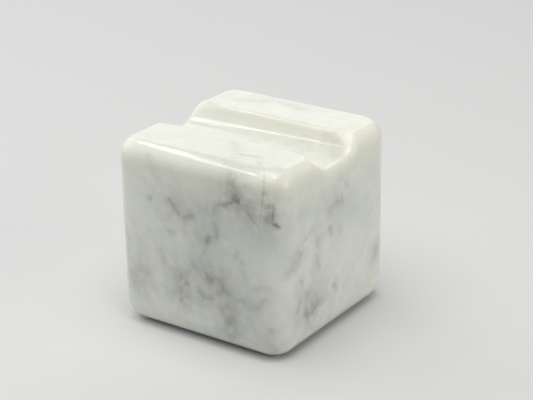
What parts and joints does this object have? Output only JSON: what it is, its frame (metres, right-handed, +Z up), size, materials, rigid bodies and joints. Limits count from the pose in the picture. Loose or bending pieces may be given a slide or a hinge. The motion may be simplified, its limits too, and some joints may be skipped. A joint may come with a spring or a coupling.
{
  "type": "marble cube",
  "caption": "Polished white marble cube with soft rounded edges and a shallow trough across its top that cradles a small round keepsake.",
  "frame": {"origin": "centre of the flat base, on the surface the cube stands on", "axes": "+X along the trough, +Y across it to the far ridge, +Z up"},
  "size_m": [0.06, 0.06, 0.0585],
  "materials": {
    "marble": "polished white marble with soft grey veins"
  },
  "bodies": {
    "root": {"marble_cube": "marble"}
  },
  "joints": []
}
